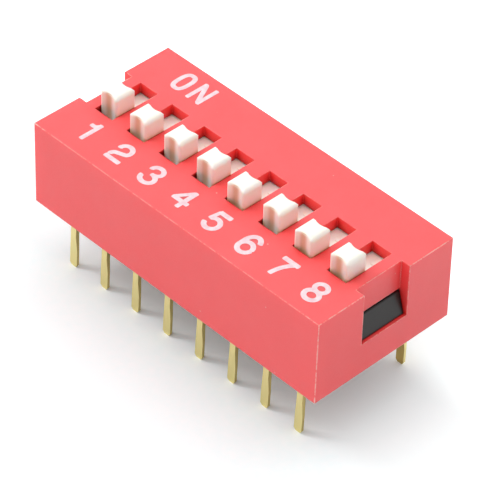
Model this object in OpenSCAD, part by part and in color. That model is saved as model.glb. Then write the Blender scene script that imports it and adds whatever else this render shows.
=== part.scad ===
// Slide DIP switch for a printed circuit board: a cover snapped over a base that
// holds two rows of strip terminals, and one slider with a leaf contact per position.
// The origin is the centre of the seat on the board. +X runs from position 1 to the
// last one, +Y from OFF to ON, and +Z away from the board.

/* [Layout] */
// Number of switch positions
positions = 8; // [2:1:12]
// Distance between neighbouring positions
pitch = 2.54; // [2.4:0.01:3]
// Distance between the two rows of pins
row_pitch = 7.62; // [7.5:0.01:7.7]

/* [Cover] */
// From the middle of an outer position to the end face
cover_end = 2.0; // [1.9:0.01:2.3]
// Width of the top across both long sides
cover_w = 9.86; // [9.7:0.01:10.4]
// Draft of the long sides, in degrees
cover_draft = 0.6; // [0:0.1:1.5]
// Height from the board to the top face
cover_h = 5.45; // [5:0.05:6.5]
// Thickness of the top
top_t = 0.72; // [0.5:0.01:1]
// Radius of the upright corners
corner_r = 0.07; // [0.05:0.01:0.4]
// Radius of the edges round the top
edge_r = 0.06; // [0.05:0.01:0.3]
// Width of a slot
slot_w = 1.38; // [1.2:0.01:1.5]
// Length of a slot
slot_l = 3.34; // [3:0.01:3.6]
// Width of the latch recess in each end
recess_w = 3.33; // [2:0.01:5]
// Thickness of the end wall behind the latch recess
recess_wall = 0.3; // [0.2:0.01:0.5]
// Height of the strap that runs below the latch window
strap_h = 2.02; // [1.5:0.01:2.3]

/* [Sliders] */
// Length of a knob along its travel
knob_l = 1.39; // [1.1:0.01:1.6]
// How far a knob stands above the cover
knob_h = 1.18; // [0.5:0.01:1.5]
// Radius of the upright corners of a knob
knob_corner_r = 0.12; // [0.1:0.01:0.25]
// Radius of the edges round the top of a knob
knob_edge_r = 0.23; // [0.1:0.01:0.35]
// Depth of the finger groove in the front and back of a knob
groove_d = 0.14; // [0.1:0.01:0.3]
// Radius of the edge between a groove and the top of the knob
groove_edge_r = 0.13; // [0.05:0.01:0.35]
// Clearance between a knob and each long side of its slot
knob_gap = 0.04; // [0.02:0.01:0.1]
// Gap left behind a knob that is ON
on_gap = 0.12; // [0.05:0.01:0.3]
// Thickness of the plate that closes the slot from below
plate_t = 0.6; // [0.4:0.01:0.7]
// Clearance between that plate and the cover, and the ribs beside it
plate_gap = 0.05; // [0.03:0.01:0.1]
// How far the plate still reaches past the slot at either end of its travel
plate_lap = 0.07; // [0.03:0.01:0.2]
// Width of the block that carries the leaf contact
block_w = 1.4; // [1.1:0.01:1.42]
// Length of the block that carries the leaf contact
block_l = 2.0; // [1.2:0.01:2.4]
// Clearance between an outer slider's plate and the end of the cover
end_gap = 0.08; // [0.06:0.01:0.15]

/* [Base] */
// Height of the underside above the board
base_up = 0.2; // [0.1:0.01:0.4]
// Height of the floor that the contacts rub on
floor_z = 1.9; // [1.7:0.01:2]
// Width of the ribs between the positions
rib_w = 0.4; // [0.3:0.01:0.5]
// Clearance between the base and the cover
base_gap = 0.05; // [0.03:0.01:0.1]
// Thickness of the base outside each row of legs
leg_cover = 0.145; // [0.1:0.005:0.3]
// Clearance between the post behind each latch and the block beside it
post_gap = 0.09; // [0.05:0.01:0.15]
// How far each latch ends below the sliders' plates
latch_drop = 0.65; // [0.2:0.01:0.8]
// How far the foot of the latch lies behind the end face
latch_back = 0.19; // [0.1:0.01:0.4]
// How far the top of the latch stands out of the recess's back wall
latch_out = 0.04; // [0:0.01:0.1]
// Clearance beside and below the latch
latch_gap = 0.06; // [0.02:0.01:0.08]
// Clearance above the latch in its window
window_gap = 0.12; // [0.04:0.01:0.2]
// Height of the detent ridge between the two pads
ridge_h = 0.05; // [0.02:0.01:0.06]

/* [Terminals] */
// Thickness of the strip
strip_t = 0.25; // [0.2:0.01:0.28]
// Width of a leg
leg_w = 0.42; // [0.35:0.01:0.5]
// Inside radius of the bend from pad to leg
bend_r = 0.15; // [0.1:0.01:0.3]
// Width of a contact pad
pad_w = 1.3; // [1:0.01:1.6]
// Gap between the two pads of a position
pads_gap = 0.6; // [0.4:0.01:0.7]
// Length of a pin below the board seat
pin_l = 4.1; // [3:0.05:5]
// Length of the coined tail, from where a pin starts to widen to its tip
tail_l = 2.2; // [1.5:0.05:3]
// Width of the coined tail
tail_w = 0.56; // [0.45:0.01:0.65]
// Thickness of the coined tail
tail_t = 0.17; // [0.12:0.01:0.22]
// Width of a pin's blunt tip
tip_w = 0.34; // [0.25:0.01:0.45]
// How far the front row of pins leans outwards, in degrees
front_lean = 2.5; // [0:0.1:4]
// How far the rear row of pins leans outwards, in degrees (negative leans inwards)
rear_lean = -1; // [-2:0.1:4]

/* [Leaf contacts] */
// Thickness of a leaf
leaf_t = 0.12; // [0.08:0.01:0.15]
// Width of a leaf
leaf_w = 0.9; // [0.6:0.01:1.1]
// Distance between the two humps that rub on the pads
hump_span = 1.5; // [1.3:0.01:1.5]
// Outside radius of a hump
hump_r = 0.2; // [0.18:0.01:0.25]
// Height of the block's foot above the floor
leaf_h = 0.72; // [0.6:0.01:0.9]
// Running clearance between a hump and its pad
leaf_gap = 0.03; // [0.03:0.01:0.05]

/* [Hidden] */
$fn = 28;

// Room left in front of each knob that is OFF: the detent lets every slider stop
// where its own mouldings put it.
REST_GAPS = [0.35, 0.15, 0.3, 0.3, 0.1, 0.25, 0.05, 0.1];

through = 1;            // overshoot of a cut that goes right through
last_x = (positions - 1) * pitch / 2;   // middle of an outer position
cover_l = 2 * (last_x + cover_end);

knob_w = slot_w - 2 * knob_gap;
knob_reach = knob_h + top_t + plate_gap + plate_t;   // from the foot of the plate to the top

// The groove runs into the round corners of the knob without a step.
lip_x = knob_w / 2 - knob_corner_r;
lip_y = knob_l / 2 - knob_corner_r;
groove_r = (lip_x * lip_x / groove_d + groove_d) / 2 - knob_corner_r;
groove_x = lip_x * groove_r / (groove_r + knob_corner_r);
groove_y = knob_l / 2 + groove_r - groove_d;

rest_min = min(REST_GAPS);
plate_w = pitch - rib_w - 2 * plate_gap;
plate_l = 2 * (slot_l - knob_l / 2 - rest_min + plate_lap);
plate_z = cover_h - top_t - plate_gap;
block_z = floor_z + leaf_h;
block_y = -0.3;         // the leaf sits this far towards OFF from the knob
gate_y = 1.95;          // moulding gate on the plate, this far behind the knob
gate_r = 0.16;
gate_h = 0.03;

// The cavity holds the sliders and the base; the walls fill what is left round it.
cavity_l = 2 * (last_x + end_gap) + plate_w;
cavity_w = row_pitch + strip_t + 2 * (leg_cover + base_gap);
cavity_h = cover_h - top_t;
base_l = cavity_l - 2 * base_gap;
base_w = cavity_w - 2 * base_gap;
rib_z = cavity_h - base_gap;
post_x = last_x + block_w / 2 + post_gap;
latch_w = recess_w - 2 * latch_gap;
latch_z = plate_z - plate_t - latch_drop;
latch_chamfer = 0.05;
window_z = latch_z + window_gap;
recess_x = cavity_l / 2 + recess_wall;

pads_y = 0.3;           // middle of the gap between the two pads
ridge_r = 0.1;
pad_shoulder = 0.4;     // length over which a strip widens into its pad
tail_start = 1.0;       // length over which a leg flattens and widens into its tail
tip_h = 0.18;           // height of the bevels at a pin's tip
tip_t = 0.11;

stake_r = 0.2;          // stake that holds a leaf under its block
stake_gap = 0.03;
stake_head_r = 0.3;
stake_head_h = 0.08;
leaf_flat = 2 * (stake_head_r + leaf_t / 2 + stake_gap); // flat between the arms
leaf_tip = 0.18;        // length of the straight end past a hump
hump_angle = 65;        // half of the angle that a hump turns through

function pos_x(i) = (i - 1) * pitch - last_x;
function rest_gap(i) = REST_GAPS[(i - 1) % len(REST_GAPS)];
function knob_y(i) = -slot_l / 2 + rest_gap(i) + knob_l / 2;

// Outline of a strip of even thickness bent along a path: both sides are offset by
// half the thickness along the mitre at each point.
function heading(a, b) = (b - a) / norm(b - a);
function side(d) = [-d[1], d[0]];
function mitre(path, k) =
    let (last = len(path) - 1,
         before = side(heading(path[max(k - 1, 0)], path[max(k, 1)])),
         after = side(heading(path[min(k, last - 1)], path[min(k + 1, last)])))
    (before + after) / (1 + before * after);
function strip(path, t) = concat(
    [for (k = [0:len(path) - 1]) path[k] + mitre(path, k) * t / 2],
    [for (k = [len(path) - 1:-1:0]) path[k] - mitre(path, k) * t / 2]);

module rounded_rect(l, w, r) {
    square([l - 2 * r, w], center = true);
    square([l, w - 2 * r], center = true);
    for (x = [-1, 1], y = [-1, 1])
        translate([x * (l / 2 - r), y * (w / 2 - r)]) circle(r);
}

// Outline drawn in X and Z, drawn out to a width centred on Y = 0.
module across(w) {
    translate([0, w / 2, 0]) rotate([90, 0, 0]) linear_extrude(w) children();
}

// Outline drawn in Y and Z, drawn out to a length centred on X = 0.
module along(l) {
    translate([-l / 2, 0, 0]) rotate([90, 0, 90]) linear_extrude(l) children();
}

// Outline standing on the X axis: its sides lean in by a draft angle and are tangent to
// the round corners of its top.
module profile(w, h, r, draft = 0) {
    out = [cos(draft), sin(draft)];
    centre = [w / 2 - r * (1 - out[1]) / out[0], h - r];
    half = [[w / 2 + h * tan(draft), 0], centre + r * out, [centre[0], h]];
    polygon(concat(half, [for (k = [len(half) - 1:-1:0]) [-half[k][0], half[k][1]]]));
    for (x = [-1, 1]) translate([x * centre[0], centre[1]]) circle(r);
}

// Block standing on Z = 0 whose long sides lean in, with round upright corners and round
// edges along the top.
module drafted_block(l, w, h, upright_r, edge_r, draft) {
    intersection() {
        leaning_side(l, w, h, upright_r, draft);
        mirror([0, 1, 0]) leaning_side(l, w, h, upright_r, draft);
        across(2 * w) profile(l, h, edge_r);
        along(l) profile(w, h, edge_r, draft);
    }
}

// Upright prism with round corners, tipped about the top edge of its side at Y = w / 2.
module leaning_side(l, w, h, r, draft) {
    translate([0, w / 2, h]) rotate([draft, 0, 0]) translate([0, -w, -2 * h])
        linear_extrude(3 * h) rounded_rect(l, 2 * w, r);
}

// The children at both ends of the switch, which are alike.
module both_ends() {
    for (side = [0, 1]) mirror([side, 0, 0]) children();
}

module cover() {
    color("#e5504f") difference() {
        drafted_block(cover_l, cover_w, cover_h, corner_r, edge_r, cover_draft);
        translate([-cavity_l / 2, -cavity_w / 2, -through])
            cube([cavity_l, cavity_w, cavity_h + through]);
        for (i = [1:positions])
            translate([pos_x(i) - slot_w / 2, -slot_l / 2, cavity_h - through])
                cube([slot_w, slot_l, top_t + 2 * through]);
        both_ends() {
            translate([recess_x, -recess_w / 2, strap_h])
                cube([cover_l / 2 + through - recess_x, recess_w, cover_h]);
            translate([post_x, -recess_w / 2, strap_h])
                cube([recess_x + through - post_x, recess_w, window_z - strap_h]);
        }
    }
}

// Latch with its post: the cover's strap rides over the slope and snaps in below it.
module latch() {
    across(latch_w) polygon([
        [post_x, base_up],
        [base_l / 2, base_up],
        [base_l / 2, strap_h + latch_gap],
        [cover_l / 2 - latch_back, strap_h + latch_gap],
        [recess_x + latch_out, latch_z - latch_chamfer],
        [recess_x + latch_out - latch_chamfer, latch_z],
        [post_x, latch_z]]);
}

module base() {
    color("#33302e") difference() {
        union() {
            translate([-base_l / 2, -base_w / 2, base_up])
                cube([base_l, base_w, floor_z - base_up]);
            for (i = [1:positions - 1])
                translate([(pos_x(i) + pos_x(i + 1) - rib_w) / 2, -base_w / 2, base_up])
                    cube([rib_w, base_w, rib_z - base_up]);
            both_ends() latch();
            for (i = [1:positions])
                translate([pos_x(i), pads_y, floor_z + ridge_h - ridge_r])
                    rotate([0, 90, 0]) cylinder(h = pad_w, r = ridge_r, center = true);
        }
        for (i = [1:positions]) {
            terminal_front(i);
            terminal_rear(i);
        }
    }
}

// Knob with a finger groove in the front and the back, all its top edges rounded.
module knob() {
    difference() {
        intersection() {
            linear_extrude(knob_reach) knob_plan();
            across(knob_l) profile(knob_w, knob_reach, knob_edge_r);
            along(knob_w) profile(knob_l, knob_reach, knob_edge_r);
        }
        for (y = [-1, 1])
            translate([0, y * groove_y, knob_reach - groove_edge_r]) groove_rim();
    }
}

module knob_plan() {
    square([knob_w, 2 * lip_y], center = true);
    for (x = [-1, 1], y = [-1, 1])
        translate([x * lip_x, y * lip_y]) circle(knob_corner_r);
    difference() {
        square([2 * groove_x, knob_l], center = true);
        for (y = [-1, 1]) translate([0, y * groove_y]) circle(groove_r);
    }
}

// What is cut away to round the edge between a groove and the top, about the groove's axis.
module groove_rim() {
    rotate_extrude() difference() {
        square([groove_r + groove_edge_r, groove_edge_r + through]);
        translate([groove_r + groove_edge_r, 0]) circle(groove_edge_r);
    }
}

module actuator(i) {
    color("#f4ecdc") translate([pos_x(i), knob_y(i), 0]) {
        translate([0, 0, plate_z - plate_t]) {
            knob();
            translate([-plate_w / 2, -plate_l / 2, 0]) cube([plate_w, plate_l, plate_t]);
        }
        translate([-block_w / 2, block_y - block_l / 2, block_z])
            cube([block_w, block_l, plate_z - plate_t / 2 - block_z]);
        translate([0, gate_y, plate_z - gate_h])
            cylinder(h = 2 * gate_h, r = gate_r);
        translate([0, block_y, block_z - leaf_t - stake_head_h]) {
            cylinder(h = leaf_t + stake_head_h + leaf_t, r = stake_r);
            cylinder(h = stake_head_h, r = stake_head_r);
        }
    }
}

// Middle line of a leaf from its middle to one tip: flat, arm, hump and straight end.
function leaf_half() =
    let (hump_z = floor_z + leaf_gap + hump_r,
         r = hump_r - leaf_t / 2,
         hump = [for (a = [-hump_angle:hump_angle / 4:hump_angle])
             [hump_span / 2 + r * sin(a), hump_z - r * cos(a)]],
         tip = hump[len(hump) - 1] + leaf_tip * [cos(hump_angle), sin(hump_angle)])
    concat([[leaf_flat / 2, block_z - leaf_t / 2]], hump, [tip]);

module contact(i) {
    half = leaf_half();
    path = concat([for (k = [len(half) - 1:-1:0]) [-half[k][0], half[k][1]]], half);
    color("#d9b65c") translate([pos_x(i), knob_y(i) + block_y, 0]) difference() {
        along(leaf_w) polygon(strip(path, leaf_t));
        translate([0, 0, block_z - leaf_t - through])
            cylinder(h = leaf_t + 2 * through, r = stake_r + stake_gap);
    }
}

// Strip terminal of the front row at X = 0, with its pad ending at Y = pad_end and its
// pin leaning outwards by an angle.
module terminal(pad_end, lean) {
    leg_y = -row_pitch / 2;
    bend_y = leg_y + strip_t / 2 + bend_r;
    bend_z = floor_z - strip_t - bend_r;
    color("#d8c382") {
        translate([0, 0, floor_z - strip_t]) linear_extrude(strip_t) polygon([
            [-leg_w / 2, bend_y],
            [leg_w / 2, bend_y],
            [pad_w / 2, bend_y + pad_shoulder],
            [pad_w / 2, pad_end],
            [-pad_w / 2, pad_end],
            [-pad_w / 2, bend_y + pad_shoulder]]);
        translate([0, bend_y, bend_z]) rotate([180, -90, 0]) rotate_extrude(angle = 90)
            translate([bend_r, -leg_w / 2]) square([strip_t, leg_w]);
        intersection() {
            across(row_pitch + 2 * pin_l) pin_front_view(bend_z);
            along(tail_w) pin_side_view(leg_y, bend_z, tan(lean));
        }
    }
}

// Pin seen from the front: a straight leg, the coined tail and its bevelled tip.
module pin_front_view(top) {
    tail_z = tail_l - pin_l;
    half = [
        [leg_w / 2, top],
        [leg_w / 2, tail_z],
        [tail_w / 2, tail_z - tail_start],
        [tail_w / 2, tip_h - pin_l],
        [tip_w / 2, -pin_l]];
    polygon(concat(half, [for (k = [len(half) - 1:-1:0]) [-half[k][0], half[k][1]]]));
}

// Pin seen from the side: upright inside the base, leaning by a slope below it.
module pin_side_view(y, top, slope) {
    tail_z = tail_l - pin_l;
    half = [
        [strip_t / 2, top],
        [strip_t / 2, 0],
        [strip_t / 2, tail_z],
        [tail_t / 2, tail_z - tail_start],
        [tail_t / 2, tip_h - pin_l],
        [tip_t / 2, -pin_l]];
    polygon(concat(
        [for (k = [0:len(half) - 1]) [y + slope * min(half[k][1], 0) - half[k][0], half[k][1]]],
        [for (k = [len(half) - 1:-1:0]) [y + slope * min(half[k][1], 0) + half[k][0], half[k][1]]]));
}

module terminal_front(i) {
    translate([pos_x(i), 0, 0]) terminal(pads_y - pads_gap / 2, front_lean);
}

module terminal_rear(i) {
    translate([pos_x(i), 0, 0])
        mirror([0, 1, 0]) terminal(-pads_y - pads_gap / 2, rear_lean);
}

cover();
base();
for (i = [1:positions]) {
    actuator(i);
    contact(i);
    terminal_front(i);
    terminal_rear(i);
}
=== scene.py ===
import bmesh
import bpy
import numpy as np
from mathutils import Matrix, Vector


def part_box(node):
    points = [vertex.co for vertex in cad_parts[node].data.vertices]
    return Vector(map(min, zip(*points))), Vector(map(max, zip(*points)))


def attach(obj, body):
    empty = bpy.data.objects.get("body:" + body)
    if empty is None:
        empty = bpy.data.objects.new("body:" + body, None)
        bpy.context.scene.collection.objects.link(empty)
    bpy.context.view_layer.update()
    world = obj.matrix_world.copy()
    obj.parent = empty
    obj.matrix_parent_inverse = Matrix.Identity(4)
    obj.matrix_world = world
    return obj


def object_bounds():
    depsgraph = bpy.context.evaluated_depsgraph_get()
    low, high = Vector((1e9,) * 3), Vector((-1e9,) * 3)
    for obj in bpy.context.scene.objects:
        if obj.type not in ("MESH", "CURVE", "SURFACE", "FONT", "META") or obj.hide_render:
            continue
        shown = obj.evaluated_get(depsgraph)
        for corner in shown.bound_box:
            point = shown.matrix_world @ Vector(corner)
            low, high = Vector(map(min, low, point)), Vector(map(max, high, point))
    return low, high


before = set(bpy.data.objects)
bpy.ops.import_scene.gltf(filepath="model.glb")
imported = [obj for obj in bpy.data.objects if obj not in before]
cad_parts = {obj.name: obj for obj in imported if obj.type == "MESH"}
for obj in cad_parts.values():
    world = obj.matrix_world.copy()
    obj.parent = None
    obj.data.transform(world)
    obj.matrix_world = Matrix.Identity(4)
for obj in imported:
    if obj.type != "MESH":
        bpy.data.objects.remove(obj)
cad_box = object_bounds()
mm = 0.001


# ---- Cover ----
# The cover is one injection-moulded shell of red PBT with eight slots in its roof. It drops over the black
# base, and a window in each end wall snaps over the base's latches. The finish is a fine spark-eroded satin,
# rubbed pale along the outer edges, with a painted highlight in that pale line and painted shade in the slots
# and recesses.

cover_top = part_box("cover")[1].z


def linear(colour):
    """A shader colour from an sRGB hex string: each channel is divided by 12.92 below the knee, and raised
    to the power 2.4 above it."""
    c = np.array([int(colour[i:i + 2], 16) for i in (1, 3, 5)]) / 255
    return (*np.where(c <= 0.04045, c / 12.92, ((c + 0.055) / 1.055) ** 2.4), 1.0)


def add(tree, kind, inputs=None, **settings):
    """Adds one node: settings are the node's own, and inputs are plain values or other nodes' outputs."""
    made = tree.nodes.new("ShaderNode" + kind)
    for name, value in settings.items():
        setattr(made, name, value)
    for socket, value in (inputs or {}).items():
        if isinstance(value, bpy.types.NodeSocket):
            tree.links.new(value, made.inputs[socket])
        else:
            made.inputs[socket].default_value = value
    return made


def new_finish(name):
    """An empty material, its tree, and the output that places patterns on the piece in metres."""
    finish = bpy.data.materials.new(name)
    finish.use_nodes = True
    tree = finish.node_tree
    tree.nodes.clear()
    return finish, tree, add(tree, "TexCoord").outputs["Object"]


def close_finish(tree, shader):
    """Leads the shader to the material's output."""
    add(tree, "OutputMaterial", {"Surface": shader.outputs[0]})


def edge_mask(tree, rounded):
    """How far a rounded normal leans from the three axes: 0 on a flat face, 1 in the middle of an edge. It
    is 0.985 minus the normal's largest component, divided by 0.205, and kept between 0 and 1."""
    axes = add(tree, "SeparateXYZ", {0: add(tree, "VectorMath", {0: rounded}, operation="ABSOLUTE").outputs[0]})
    top = add(tree, "Math", {0: axes.outputs[0], 1: axes.outputs[1]}, operation="MAXIMUM")
    top = add(tree, "Math", {0: top.outputs[0], 1: axes.outputs[2]}, operation="MAXIMUM")
    return add(tree, "MapRange", {0: top.outputs[0], 1: 0.985, 2: 0.78, 3: 0.0, 4: 1.0}).outputs[0]


def crevice(tree, rounded, reach, *shade_tints):
    """Painted shade: how open a place is, from 0 to 1, to what lies within reach, and a tint to multiply its
    colour by, which paints shade into tight places. Each of shade_tints is an openness and its sRGB colour, the
    tightest first and the most open second."""
    open_way = add(tree, "AmbientOcclusion", {"Distance": reach, "Normal": rounded}, samples=12)
    ramp = add(tree, "ValToRGB", {0: open_way.outputs["AO"]})
    stops = ramp.color_ramp.elements
    for k, (openness, colour) in enumerate(shade_tints):
        stop = stops[k] if k < 2 else stops.new(openness)
        stop.position, stop.color = openness, linear(colour)
    return open_way.outputs["AO"], ramp.outputs[0]


# Red PBT, moulded: an even red that light enters by a fraction of a millimetre, so its shadows stay red.
pbt_red, tree, place = new_finish("red PBT, moulded satin")
rounded = add(tree, "Bevel", {"Radius": 0.11 * mm}, samples=8).outputs[0]
cloud = add(tree, "TexNoise", {"Vector": place, "Scale": 1 / (2.6 * mm), "Detail": 3.0, "Roughness": 0.6})
body = add(tree, "Mix", {0: cloud.outputs[0], 6: linear("#F7595B"), 7: linear("#FC6164")}, data_type="RGBA")
# Painted shade: where red walls face each other or a slider, the red is painted deeper and darker, as light
# that has met them more than once would make it.
openness, painted_deep_red = crevice(tree, rounded, 1.3 * mm, (0.12, "#8C1A12"), (1.0, "#FFFFFF"), (0.30, "#C23A32"),
                         (0.50, "#F8A29C"), (0.68, "#FFDEDA"))
body = add(tree, "Mix", {0: 1.0, 6: body.outputs[2], 7: painted_deep_red}, data_type="RGBA", blend_type="MULTIPLY")
# Rubs and painted highlight: a thin, broken pale line along the open edges, partly wear and partly a painted
# edge highlight, plainest at the two ends of the cover.
breaks = add(tree, "TexNoise", {"Vector": place, "Scale": 1 / (0.35 * mm), "Detail": 4.0, "Roughness": 0.7})
breaks = add(tree, "MapRange", {0: breaks.outputs[0], 1: 0.40, 2: 0.54, 3: 0.15, 4: 1.0})
way = add(tree, "SeparateXYZ", {0: add(tree, "VectorMath", {0: place}, operation="ABSOLUTE").outputs[0]})
end = add(tree, "MapRange", {0: way.outputs[0], 1: 9.9 * mm, 2: 10.25 * mm, 3: 0.42, 4: 1.0})
rub_and_highlight = add(tree, "Math", {0: breaks.outputs[0], 1: edge_mask(tree, rounded)}, operation="MULTIPLY")
rub_and_highlight = add(tree, "Math", {0: rub_and_highlight.outputs[0], 1: end.outputs[0]}, operation="MULTIPLY")
outer = add(tree, "MapRange", {0: openness, 1: 0.70, 2: 0.86, 3: 0.0, 4: 1.0})
rub_and_highlight = add(tree, "Math", {0: rub_and_highlight.outputs[0], 1: outer.outputs[0]}, operation="MULTIPLY")
body = add(tree, "Mix", {0: rub_and_highlight.outputs[0], 6: body.outputs[2], 7: linear("#FFC6BC")}, data_type="RGBA")
# Nicks: pale specks up to 0.12 mm across, some faint, about one for each 35 square millimetres.
cells = add(tree, "TexVoronoi", {"Vector": place, "Scale": 1 / (0.8 * mm)})
dot = add(tree, "MapRange", {0: cells.outputs["Distance"], 1: 0.075, 2: 0.035, 3: 0.0, 4: 1.0})
chance = add(tree, "SeparateXYZ", {0: cells.outputs["Color"]})
chosen = add(tree, "Math", {0: chance.outputs[0], 1: 0.88}, operation="GREATER_THAN")
nick = add(tree, "Math", {0: dot.outputs[0], 1: chosen.outputs[0]}, operation="MULTIPLY")
nick = add(tree, "Math", {0: nick.outputs[0], 1: chance.outputs[1]}, operation="MULTIPLY")
body = add(tree, "Mix", {0: nick.outputs[0], 6: body.outputs[2], 7: linear("#F2A9A0")}, data_type="RGBA")
# Spark-eroded grain of 0.05 mm, drawn at 0.08 mm so that it shows, over a slow sink of the walls.
grain = add(tree, "TexNoise", {"Vector": place, "Scale": 1 / (0.08 * mm), "Detail": 2.0})
relief = add(tree, "Bump", {"Height": grain.outputs[0], "Distance": 0.0018 * mm, "Strength": 1.0,
                            "Normal": rounded})
relief = add(tree, "Bump", {"Height": cloud.outputs[0], "Distance": 0.02 * mm, "Strength": 1.0,
                            "Normal": relief.outputs[0]})
satin = add(tree, "MapRange", {0: grain.outputs[0], 1: 0.3, 2: 0.7, 3: 0.40, 4: 0.54})
close_finish(tree, add(tree, "BsdfPrincipled", {
    "Base Color": body.outputs[2], "Roughness": satin.outputs[0], "Normal": relief.outputs[0], "IOR": 1.46,
    "Subsurface Weight": 0.55, "Subsurface Radius": (1.0, 0.12, 0.10), "Subsurface Scale": 0.7 * mm}))
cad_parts["cover"].material_slots[0].material = pbt_red


# ---- Legends ----
# The numbers 1 to 8 and the word ON are pad-printed in white epoxy ink, about 0.3 mm wide strokes that stand
# a few microns proud of the roof. The pad sat a little askew, and the red shows faintly through the ink.

ink = 0.007 * mm                 # thickness of the print
overprint = 0.0004 * mm          # how far each stroke of a letter lies over the one before
end_round = 0.07                 # length over which a stroke's open end narrows, mm
point_step = 0.02                # from one point to the next along a stroke, mm
figure_step = 2.473              # from one figure to the next, mm
figures_middle = (0.372, -4.02)  # middle of the row of figures, on their base line, mm
word_places = (-8.02, -6.58)     # middles of the O and the N along X, mm
word_line = 2.60                 # base line of the word along Y, mm
askew = np.radians(-0.2)         # turn of the whole print on the roof
positions = range(1, 9)


def arc(x, y, half_width, half_height, start, end, squareness=1.0):
    """90 points on an oval about (x, y) from one angle to the other, in degrees: the offsets are the half
    sizes times the cosine and sine, each raised to the power squareness with its sign kept."""
    t = np.radians(np.linspace(start, end, 90))
    c, s = np.cos(t), np.sin(t)
    return np.stack([x + half_width * np.sign(c) * np.abs(c) ** squareness,
                     y + half_height * np.sign(s) * np.abs(s) ** squareness], 1)


def bar(*points):
    """The straight pieces that join the points."""
    return np.array(points, float)


def stroke(path, width, closed, lift):
    """One stroke of ink. A flat oval is carried along the path: across it, the offset is half the width times
    the cosine, and the height is the ink's thickness times the sine, both to the power 0.5, which squares
    the oval. At an open end both shrink over the length end_round, as a quarter circle does."""
    step = np.r_[0, np.cumsum(np.hypot(*np.diff(path, axis=0).T))]
    s = np.linspace(0, step[-1], max(12, int(step[-1] / point_step)), endpoint=not closed)
    p = np.stack([np.interp(s, step, path[:, k]) for k in (0, 1)], 1)
    ahead = np.roll(p, -1, 0) - np.roll(p, 1, 0) if closed else np.gradient(p, axis=0)
    ahead /= np.linalg.norm(ahead, axis=1, keepdims=True)
    side = np.stack([-ahead[:, 1], ahead[:, 0]], 1)
    near_end = np.minimum(s, s[-1] - s) / end_round
    shrink = np.ones_like(s) if closed else np.sqrt(1 - np.clip(1 - near_end, 0, 1) ** 2)
    t = np.linspace(0, 2 * np.pi, 16, endpoint=False)
    c, h = np.cos(t), np.sin(t)
    across = width / 2 * shrink[:, None] * np.sign(c) * np.abs(c) ** 0.5
    out = np.empty((len(s), len(t), 3))
    out[..., :2] = (p[:, None] + side[:, None] * across[..., None]) * mm
    out[..., 2] = cover_top + lift + ink * shrink[:, None] * np.sign(h) * np.abs(h) ** 0.5
    return out


def sheets(name, grids):
    """One mesh from several grids of points, (grid, first way closed): each point joins the next along both
    ways of its grid, and the second way always closes on itself. Points that meet are then merged."""
    points, faces, base = [], [], 0
    for grid, closed in grids:
        n, m = grid.shape[:2]
        i, j = np.meshgrid(np.arange(n if closed else n - 1), np.arange(m), indexing="ij")
        a, b = i * m + j, i * m + (j + 1) % m
        c, d = (i + 1) % n * m + (j + 1) % m, (i + 1) % n * m + j
        faces.append(base + np.stack([a, b, c, d], -1).reshape(-1, 4))
        points.append(grid.reshape(-1, 3))
        base += n * m
    mesh = bpy.data.meshes.new(name)
    mesh.from_pydata(np.vstack(points).tolist(), [], np.vstack(faces).tolist())
    work = bmesh.new()
    work.from_mesh(mesh)
    bmesh.ops.remove_doubles(work, verts=work.verts, dist=1e-8)
    bmesh.ops.recalc_face_normals(work, faces=work.faces)
    work.to_mesh(mesh)
    work.free()
    mesh.shade_smooth()
    piece = bpy.data.objects.new(name, mesh)
    bpy.context.scene.collection.objects.link(piece)
    return piece


# Each letter's strokes and their widths, in mm from the middle of its base line.
figures = {
    "1": [(bar((0.085, 0), (0.085, 1.65)), 0.29),
          (np.vstack([bar((-0.445, 1.25), (-0.22, 1.25)), arc(-0.22, 1.55, 0.27, 0.30, -90, -5)]), 0.27)],
    "2": [(np.vstack([arc(0.015, 1.12, 0.40, 0.395, 192, -38), arc(0.14, 0.42, 0.56, 0.36, 140, 196)]), 0.30),
          (bar((-0.58, 0.155), (0.60, 0.155)), 0.30)],
    "3": [(arc(-0.02, 1.185, 0.39, 0.335, 197, -90), 0.29), (arc(-0.01, 0.475, 0.445, 0.38, 90, -190), 0.30),
          (bar((-0.15, 0.85), (0.08, 0.85)), 0.26)],
    "4": [(bar((0.23, -0.01), (0.23, 1.60)), 0.29), (bar((-0.58, 0.53), (0.61, 0.53)), 0.29),
          (bar((0.20, 1.50), (-0.46, 0.55)), 0.25)],
    "5": [(bar((-0.37, 1.44), (0.54, 1.44)), 0.31), (bar((-0.28, 1.50), (-0.42, 0.68)), 0.25),
          (arc(0, 0.50, 0.435, 0.44, 152, -170), 0.30)],
    "6": [(np.vstack([arc(0.035, 0.92, 0.425, 0.58, 20, 180), arc(0.035, 0.49, 0.425, 0.43, 180, 360)]), 0.30),
          (arc(0.035, 0.49, 0.425, 0.43, -2, 182), 0.29)],
    "7": [(bar((-0.56, 1.43), (0.61, 1.43)), 0.31), (arc(0.85, -0.13, 1.04, 1.72, 118, 176), 0.29)],
    "8": [(arc(0.01, 1.15, 0.37, 0.33, 0, 360), 0.285), (arc(0, 0.44, 0.425, 0.375, 0, 360), 0.30)],
    "O": [(arc(0, 0.83, 0.362, 0.70, 0, 360, 0.72), 0.285)],
    "N": [(bar((-0.40, 0), (-0.40, 1.66)), 0.265), (bar((0.40, 0), (0.40, 1.66)), 0.265),
          (bar((-0.37, 1.56), (0.37, 0.10)), 0.27)],
}
turn = np.array([[np.cos(askew), -np.sin(askew)], [np.sin(askew), np.cos(askew)]])


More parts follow.
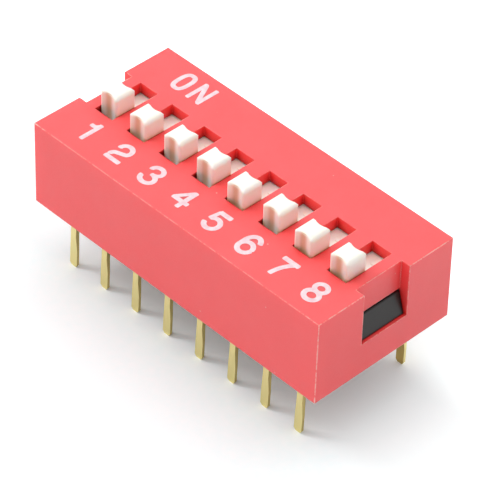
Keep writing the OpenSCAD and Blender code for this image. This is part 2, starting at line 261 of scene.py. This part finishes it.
def printed(name, letters):
    """The strokes of letters that stand at (x, y) on the roof, turned with the print. Each stroke of a letter
    is lifted by overprint over the one before, so that no two lie in one plane."""
    grids = []
    for letter, x, y in letters:
        for k, (path, width) in enumerate(figures[letter]):
            closed = bool(np.allclose(path[0], path[-1]))
            grids.append((stroke((path + (x, y)) @ turn.T, width, closed, k * overprint), closed))
    return sheets(name, grids)


numbers = printed("print_numbers", [(str(i), figures_middle[0] + figure_step * (i - 4.5), figures_middle[1])
                                    for i in positions])
word = printed("print_on", [(letter, x, word_line) for letter, x in zip("ON", word_places)])

# White epoxy ink, pad-printed: flat and chalky, thin enough that the red tints it unevenly.
ink_white, tree, place = new_finish("white epoxy ink, pad-printed")
thin = add(tree, "TexNoise", {"Vector": place, "Scale": 1 / (0.35 * mm), "Detail": 3.0, "Roughness": 0.6})
thin = add(tree, "MapRange", {0: thin.outputs[0], 1: 0.35, 2: 0.75, 3: 0.0, 4: 1.0})
tone = add(tree, "Mix", {0: thin.outputs[0], 6: linear("#EAD9DE"), 7: linear("#E3B9C2")}, data_type="RGBA")
pits = add(tree, "TexNoise", {"Vector": place, "Scale": 1 / (0.06 * mm), "Detail": 2.0})
relief = add(tree, "Bump", {"Height": pits.outputs[0], "Distance": 0.002 * mm, "Strength": 1.0})
close_finish(tree, add(tree, "BsdfPrincipled", {
    "Base Color": tone.outputs[2], "Roughness": 0.55, "Normal": relief.outputs[0], "IOR": 1.5}))
for piece in (numbers, word):
    piece.data.materials.append(ink_white)
    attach(piece, "housing")


# ---- Base ----
# The base is a tray of black glass-filled PBT, moulded with the terminals already in it. Its ribs part the
# eight positions, and the wedge at each end is what shows in the cover's window.

# Black PBT, glass filled: near black, half gloss, with the short fibres just felt under the skin.
pbt_black, tree, place = new_finish("black PBT, glass filled")
rounded = add(tree, "Bevel", {"Radius": 0.05 * mm}, samples=6).outputs[0]
fibres = add(tree, "TexNoise", {"Vector": place, "Scale": 1 / (0.12 * mm), "Detail": 4.0, "Roughness": 0.65})
tone = add(tree, "Mix", {0: fibres.outputs[0], 6: linear("#110706"), 7: linear("#1B0E0C")}, data_type="RGBA")
# Painted shade: the black is painted darker still in crevices and where parts close in, within 0.5 mm.
painted_dark_shade = crevice(tree, rounded, 0.5 * mm, (0.35, "#303030"), (1.0, "#FFFFFF"))[1]
tone = add(tree, "Mix", {0: 1.0, 6: tone.outputs[2], 7: painted_dark_shade}, data_type="RGBA", blend_type="MULTIPLY")
relief = add(tree, "Bump", {"Height": fibres.outputs[0], "Distance": 0.003 * mm, "Strength": 1.0,
                            "Normal": rounded})
gloss = add(tree, "MapRange", {0: fibres.outputs[0], 1: 0.3, 2: 0.7, 3: 0.28, 4: 0.42})
close_finish(tree, add(tree, "BsdfPrincipled", {
    "Base Color": tone.outputs[2], "Roughness": gloss.outputs[0], "Normal": relief.outputs[0], "IOR": 1.40}))
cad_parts["base"].material_slots[0].material = pbt_black


# ---- Sliders ----
# Each slider is one small moulding of natural, ivory-white acetal: a plate that closes the slot from below,
# a block that carries the leaf contact, and the grooved knob that a fingertip or a pen pushes.

pitch = 2.54 * mm                # from one position to the next
groove_shade_shift = 0.08 * mm           # from a knob's middle to its band's, towards position 1

# Natural acetal: ivory, waxy, lets a little light in, which softens its edges.
acetal, tree, place = new_finish("natural acetal, moulded")
rounded = add(tree, "Bevel", {"Radius": 0.18 * mm}, samples=8).outputs[0]
flow = add(tree, "TexNoise", {"Vector": place, "Scale": 1 / (0.9 * mm), "Detail": 3.0, "Roughness": 0.55})
tone = add(tree, "Mix", {0: flow.outputs[0], 6: linear("#FFF8EF"), 7: linear("#FCF3E8")}, data_type="RGBA")
# Painted shade: faces that don't look up are painted a warm tan where other parts close in within 0.35 mm.
painted_warm_shade = crevice(tree, rounded, 0.35 * mm, (0.3, "#FFCCA0"), (1.0, "#FFFFFF"), (0.75, "#FFF8F2"))[1]
facing = add(tree, "SeparateXYZ", {0: add(tree, "NewGeometry").outputs["Normal"]})
upright = add(tree, "MapRange", {0: facing.outputs[2], 1: 0.3, 2: 0.7, 3: 1.0, 4: 0.1})
tone = add(tree, "Mix", {0: upright.outputs[0], 6: tone.outputs[2], 7: painted_warm_shade}, data_type="RGBA",
           blend_type="MULTIPLY")
# Finger grooves: painted shade, a soft tan band, runs down the front and back of each knob where its groove
# lies. The knobs repeat at the pitch and stand half a pitch from its multiples, so a place's distance from its
# band comes from its X by a wrap.
at = add(tree, "SeparateXYZ", {0: place})
off = add(tree, "Math", {0: at.outputs[0], 1: pitch, 2: 0.0}, operation="WRAP")
off = add(tree, "Math", {0: off.outputs[0], 1: pitch / 2 - groove_shade_shift}, operation="SUBTRACT")
off = add(tree, "Math", {0: off.outputs[0]}, operation="ABSOLUTE")
painted_groove_shade = add(tree, "MapRange", {0: off.outputs[0], 1: 0.05 * mm, 2: 0.34 * mm, 3: 1.0, 4: 0.0},
           interpolation_type="SMOOTHSTEP")
front = add(tree, "Math", {0: facing.outputs[1]}, operation="ABSOLUTE")
front = add(tree, "MapRange", {0: front.outputs[0], 1: 0.75, 2: 0.95, 3: 0.0, 4: 0.72})
painted_groove_shade = add(tree, "Math", {0: painted_groove_shade.outputs[0], 1: front.outputs[0]}, operation="MULTIPLY")
tone = add(tree, "Mix", {0: painted_groove_shade.outputs[0], 6: tone.outputs[2], 7: linear("#D6A676")}, data_type="RGBA")
fine = add(tree, "TexNoise", {"Vector": place, "Scale": 1 / (0.07 * mm), "Detail": 2.0})
relief = add(tree, "Bump", {"Height": fine.outputs[0], "Distance": 0.0015 * mm, "Strength": 1.0,
                            "Normal": rounded})
satin = add(tree, "MapRange", {0: fine.outputs[0], 1: 0.3, 2: 0.7, 3: 0.38, 4: 0.50})
close_finish(tree, add(tree, "BsdfPrincipled", {
    "Base Color": tone.outputs[2], "Roughness": satin.outputs[0], "Normal": relief.outputs[0], "IOR": 1.48,
    "Subsurface Weight": 0.8, "Subsurface Radius": (1.0, 0.78, 0.64), "Subsurface Scale": 0.3 * mm}))
for i in positions:
    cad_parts[f"actuator_{i}"].material_slots[0].material = acetal


# ---- Leaf contacts ----
# A leaf of phosphor bronze, gold flashed, is heat-staked under each slider's block and rides over the two
# terminal pads. It is out of sight under the cover.

# Gold-flashed phosphor bronze: bright yellow, rolled fine along the strip.
leaf_gold, tree, place = new_finish("gold-flashed phosphor bronze leaf")
rolled = add(tree, "Mapping", {"Vector": place, "Scale": (8.0, 1.0, 8.0)})
rolled = add(tree, "TexNoise", {"Vector": rolled.outputs[0], "Scale": 1 / (0.5 * mm), "Detail": 3.0})
tone = add(tree, "Mix", {0: rolled.outputs[0], 6: linear("#E8C878"), 7: linear("#D9B25C")}, data_type="RGBA")
gloss = add(tree, "MapRange", {0: rolled.outputs[0], 1: 0.3, 2: 0.7, 3: 0.20, 4: 0.34})
close_finish(tree, add(tree, "BsdfPrincipled", {
    "Base Color": tone.outputs[2], "Metallic": 1.0, "Roughness": gloss.outputs[0]}))
for i in positions:
    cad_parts[f"contact_{i}"].material_slots[0].material = leaf_gold


# ---- Terminals ----
# The terminals are stamped and bent from 0.25 mm brass strip with a thin gold plate, two rows of eight, and
# moulded into the base. The strip keeps its rolled lines, and the front row's sides are painted darker, a
# painted shade.

# Gold-plated brass strip: pale matt gold, with rolled lines down the leg.
strip_gold, tree, place = new_finish("gold-plated brass strip")
rounded = add(tree, "Bevel", {"Radius": 0.03 * mm}, samples=6).outputs[0]
rolled = add(tree, "Mapping", {"Vector": place, "Scale": (14.0, 14.0, 1.0)})
rolled = add(tree, "TexNoise", {"Vector": rolled.outputs[0], "Scale": 1 / (0.9 * mm), "Detail": 4.0,
                                "Roughness": 0.65})
tone = add(tree, "Mix", {0: rolled.outputs[0], 6: linear("#E4D693"), 7: linear("#F0E4A7")}, data_type="RGBA")
facing = add(tree, "SeparateXYZ", {0: add(tree, "NewGeometry").outputs["True Normal"]})
# Painted shade: the front row's sides, facing along X, are painted a darker gold; the rear row's are not.
painted_side_shade = add(tree, "Math", {0: facing.outputs[0]}, operation="ABSOLUTE")
painted_side_shade = add(tree, "MapRange", {0: painted_side_shade.outputs[0], 1: 0.5, 2: 0.8, 3: 0.0, 4: 0.7})
at = add(tree, "SeparateXYZ", {0: place})
rear = add(tree, "MapRange", {0: at.outputs[1], 1: 0.0, 2: 1.0 * mm, 3: 0.0, 4: 1.0})
painted_side_shade = add(tree, "Math", {0: painted_side_shade.outputs[0], 1: rear.outputs[0]}, operation="SUBTRACT", use_clamp=True)
tone = add(tree, "Mix", {0: painted_side_shade.outputs[0], 6: tone.outputs[2], 7: linear("#B09A58")}, data_type="RGBA")
# In the rear row the sides stay plain, and painted shade darkens the faces towards the front.
painted_inner_shade = add(tree, "MapRange", {0: facing.outputs[1], 1: -0.9, 2: -0.6, 3: 1.0, 4: 0.0})
painted_inner_shade = add(tree, "Math", {0: painted_inner_shade.outputs[0], 1: rear.outputs[0]}, operation="MULTIPLY")
tone = add(tree, "Mix", {0: painted_inner_shade.outputs[0], 6: tone.outputs[2], 7: linear("#BFA661")}, data_type="RGBA")
relief = add(tree, "Bump", {"Height": rolled.outputs[0], "Distance": 0.004 * mm, "Strength": 1.0,
                            "Normal": rounded})
gloss = add(tree, "MapRange", {0: rolled.outputs[0], 1: 0.3, 2: 0.7, 3: 0.34, 4: 0.48})
close_finish(tree, add(tree, "BsdfPrincipled", {
    "Base Color": tone.outputs[2], "Metallic": 1.0, "Roughness": gloss.outputs[0], "Normal": relief.outputs[0]}))
for row in ("front", "rear"):
    for i in positions:
        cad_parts[f"terminal_{row}_{i}"].material_slots[0].material = strip_gold


# ---- Table, light and camera ----
# The switch stands on the tips of its terminals on a white table, under a white tent that is brightest
# overhead and a little brighter at the left, and one soft lamp at the upper left adds crispness. The camera
# looks down at a corner from 16 cm with a long lens.

table_reach = 0.6                # half the table's side, m
table_top = cad_box[0][2]
lamp_way = np.array([-0.88, -0.47, 1.0]) / np.linalg.norm([-0.88, -0.47, 1.0])
lamp_far = 0.25                  # from the switch, m
lamp_size = 0.075                # across its disk, m
lamp_power = 0.31 * np.pi ** 2 * lamp_far ** 2
turned, raised = np.radians(45.0), np.radians(41.54)
camera_roll = 1.616              # degrees
camera_far = 161.73 * mm
aim = np.array([2.21, -1.29, 2.66]) * mm
lens, sensor = 220.4, 36.0       # the two on one scale, mm

mesh = bpy.data.meshes.new("table")
mesh.from_pydata([(-table_reach, -table_reach, table_top), (table_reach, -table_reach, table_top),
                  (table_reach, table_reach, table_top), (-table_reach, table_reach, table_top)],
                 [], [(0, 1, 2, 3)])
table = bpy.data.objects.new("table", mesh)
bpy.context.scene.collection.objects.link(table)


def seen(tree):
    """1 for a ray from the camera, off a glossy surface or through a clear one, and 0 for the rays that light
    matt surfaces: the largest of the three switches."""
    path = add(tree, "LightPath")
    straight = add(tree, "Math", {0: path.outputs["Is Camera Ray"], 1: path.outputs["Is Glossy Ray"]},
                   operation="MAXIMUM")
    return add(tree, "Math", {0: straight.outputs[0], 1: path.outputs["Is Transmission Ray"]},
               operation="MAXIMUM").outputs[0]


# Matt white card: the camera and the metal see a faint glow on it, a painted light that is least in front of
# the switch, more at its right and most behind it, so that it bleaches to white away from the shadow and paints
# the shadow pool's shape. It lights no matt surface.
card, tree, place = new_finish("matt white card")
weave = add(tree, "TexNoise", {"Vector": place, "Scale": 1 / (0.4 * mm), "Detail": 3.0})
tone = add(tree, "Mix", {0: weave.outputs[0], 6: linear("#FAFFFF"), 7: linear("#F0F8FA")}, data_type="RGBA")
at = add(tree, "SeparateXYZ", {0: place})
level = add(tree, "MapRange", {0: at.outputs[1], 1: -4.5 * mm, 2: -2.2 * mm, 3: 0.04, 4: 0.125},
            interpolation_type="SMOOTHSTEP")
painted_glow_behind = add(tree, "MapRange", {0: at.outputs[1], 1: 2.8 * mm, 2: 5.5 * mm, 3: 0.0, 4: 0.22},
             interpolation_type="SMOOTHSTEP")
painted_glow_beside = add(tree, "MapRange", {0: at.outputs[0], 1: 10.0 * mm, 2: 16.0 * mm, 3: 0.0, 4: 0.13},
             interpolation_type="SMOOTHSTEP")
level = add(tree, "Math", {0: level.outputs[0], 1: painted_glow_behind.outputs[0]}, operation="ADD")
level = add(tree, "Math", {0: level.outputs[0], 1: painted_glow_beside.outputs[0]}, operation="ADD")
painted_glow = add(tree, "Math", {0: seen(tree), 1: level.outputs[0]}, operation="MULTIPLY")
matt = add(tree, "BsdfDiffuse", {"Color": tone.outputs[2], "Roughness": 0.5})
painted_glow = add(tree, "Emission", {"Color": linear("#F7FFFE"), "Strength": painted_glow.outputs[0]})
lit = add(tree, "AddShader", {0: matt.outputs[0], 1: painted_glow.outputs[0]})
# From below the camera looks through the card at the switch's underside.
path = add(tree, "LightPath")
side = add(tree, "NewGeometry")
below = add(tree, "Math", {0: path.outputs["Is Camera Ray"], 1: side.outputs["Backfacing"]}, operation="MULTIPLY")
clear = add(tree, "BsdfTransparent")
close_finish(tree, add(tree, "MixShader", {0: below.outputs[0], 1: lit.outputs[0], 2: clear.outputs[0]}))
table.data.materials.append(card)

# The tent: its brightness is 1.56 near the top, a little to the left and back, and goes down with the cosine
# of the angle from there. The camera and the metal see it no darker than white.
tent = bpy.data.worlds.new("white tent")
bpy.context.scene.world = tent
tent.use_nodes = True
tree = tent.node_tree
tree.nodes.clear()
way = add(tree, "TexCoord").outputs["Generated"]
level = add(tree, "VectorMath", {0: way, 1: (-0.27, 0.2, 1.52)}, operation="DOT_PRODUCT")
level = add(tree, "Math", {0: level.outputs["Value"], 1: seen(tree)}, operation="MAXIMUM")
sky = add(tree, "Background", {"Color": linear("#FFFFFF"), "Strength": level.outputs[0]})
add(tree, "OutputWorld", {"Surface": sky.outputs[0]})

lamp = bpy.data.objects.new("soft lamp", bpy.data.lights.new("soft lamp", "AREA"))
lamp.data.shape = "DISK"
lamp.data.size = lamp_size
lamp.data.energy = lamp_power
bpy.context.scene.collection.objects.link(lamp)


def looking(place, back, roll=0.0):
    """The matrix of a thing at place whose own Z axis points along back, its X axis level and then rolled."""
    back = np.asarray(back) / np.linalg.norm(back)
    right = np.cross((0, 0, 1), back)
    right /= np.linalg.norm(right)
    up = np.cross(back, right)
    c, s = np.cos(np.radians(roll)), np.sin(np.radians(roll))
    axes = np.eye(4)
    axes[:3, :3] = np.stack([c * right + s * up, c * up - s * right, back], 1)
    axes[:3, 3] = place
    return Matrix(axes.tolist())


lamp.matrix_world = looking(lamp_way * lamp_far, lamp_way)

back = np.array([np.sin(turned) * np.cos(raised), -np.cos(turned) * np.cos(raised), np.sin(raised)])
camera = bpy.data.objects.new("camera", bpy.data.cameras.new("camera"))
camera.data.lens = lens
camera.data.sensor_width = sensor
camera.data.clip_start = 0.001
camera.data.clip_end = 10.0
camera.matrix_world = looking(aim + camera_far * back, back, camera_roll)
bpy.context.scene.collection.objects.link(camera)
bpy.context.scene.camera = camera
bpy.context.scene.view_settings.view_transform = "Standard"
